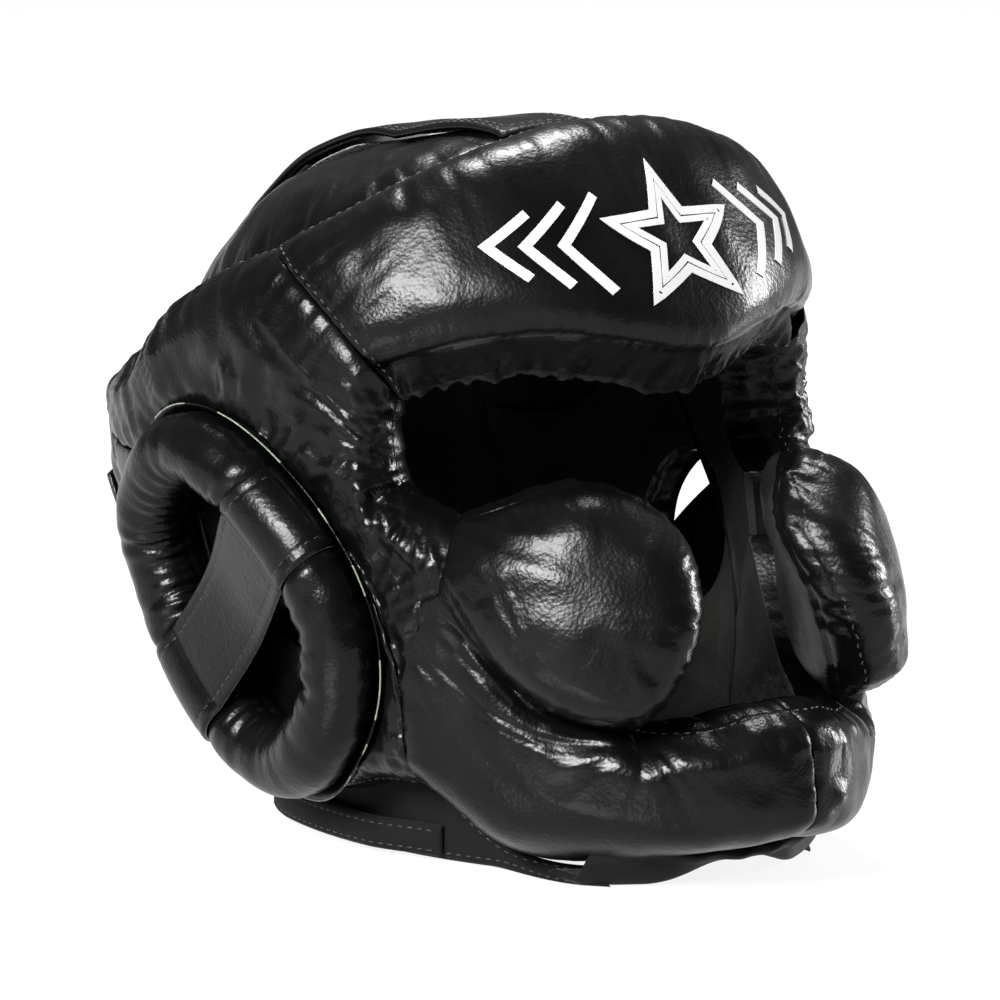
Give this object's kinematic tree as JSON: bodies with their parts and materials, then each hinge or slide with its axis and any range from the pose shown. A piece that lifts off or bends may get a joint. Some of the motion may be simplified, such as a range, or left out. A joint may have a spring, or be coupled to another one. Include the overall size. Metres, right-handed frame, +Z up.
{
  "type": "boxing headgear",
  "caption": "Full-face padded leather boxing headgear with a chin bar, raised cheek pads, padded ear rings, a domed crown and hook-and-loop straps.",
  "frame": {"origin": "middle of the bounding box at the floor the headgear rests on", "axes": "+Z up, the face looks towards -Y, +X is the wearer's left"},
  "size_m": [0.2356, 0.3118, 0.2323],
  "materials": {
    "leather": "glossy black cowhide with fine grain",
    "lining": "soft black lining leather, slightly creased",
    "foam": "layered foam padding, hidden inside the covers",
    "raw_edge": "cut leather edge, pale grey green",
    "webbing": "black woven textile",
    "hook": "black hook tape",
    "loop": "black napped loop tape"
  },
  "bodies": {
    "shell": {"forehead_cover": "leather", "forehead_foam": "foam", "forehead_lining": "lining", "rear_pad_cover": "leather", "rear_pad_foam": "foam", "rear_pad_lining": "lining", "rear_loop_patch": "loop", "neck_loop_patch": "loop", "throat_strap": "webbing", "crown_cover": "leather", "crown_lining": "lining", "crown_loop_patch": "loop", "temple_cover_right": "leather", "temple_foam_right": "foam", "ear_panel_cover_right": "leather", "ear_panel_foam_right": "foam", "side_lining_right": "lining", "cheek_cover_right": "leather", "cheek_foam_right": "foam", "cheek_lining_right": "lining", "jaw_cover_right": "leather", "jaw_foam_right": "foam", "jaw_lining_right": "lining", "neck_band_right": "webbing", "ear_ring_cover_right": "leather", "ear_ring_foam_right": "foam", "ear_flange_right": "raw_edge", "ear_strap_right": "leather", "temple_cover_left": "leather", "temple_foam_left": "foam", "ear_panel_cover_left": "leather", "ear_panel_foam_left": "foam", "side_lining_left": "lining", "cheek_cover_left": "leather", "cheek_foam_left": "foam", "cheek_lining_left": "lining", "jaw_cover_left": "leather", "jaw_foam_left": "foam", "jaw_lining_left": "lining", "neck_band_left": "webbing", "ear_ring_cover_left": "leather", "ear_ring_foam_left": "foam", "ear_flange_left": "raw_edge", "ear_strap_left": "leather"},
    "crown_flap": {"crown_strap": "webbing", "crown_hook_patch": "hook"},
    "neck_flap": {"neck_strap": "webbing", "neck_hook_patch": "hook"},
    "wing_right": {"rear_wing_cover_right": "leather", "rear_wing_foam_right": "foam", "rear_wing_lining_right": "lining", "wing_tab_right": "webbing", "wing_hook_patch_right": "hook"},
    "wing_left": {"rear_wing_cover_left": "leather", "rear_wing_foam_left": "foam", "rear_wing_lining_left": "lining", "wing_tab_left": "webbing", "wing_hook_patch_left": "hook"}
  },
  "joints": [
    {"name": "wing_right_swing", "type": "hinge", "parent": "shell", "child": "wing_right", "pos_m": [-0.0763, 0.0845, 0.07], "axis": [-0.0979, 0.4502, 0.8875], "range_deg": [0, 30]},
    {"name": "wing_left_swing", "type": "hinge", "parent": "shell", "child": "wing_left", "pos_m": [0.0763, 0.0845, 0.07], "axis": [-0.0979, -0.4502, -0.8875], "range_deg": [0, 30]},
    {"name": "crown_flap_peel", "type": "hinge", "parent": "shell", "child": "crown_flap", "pos_m": [0, -0.0241, 0.2241], "axis": [1, 0, 0], "range_deg": [0, 100]},
    {"name": "neck_flap_peel", "type": "hinge", "parent": "shell", "child": "neck_flap", "pos_m": [-0.0612, -0.045, 0.0063], "axis": [0, 0, 1], "range_deg": [0, 110]}
  ]
}
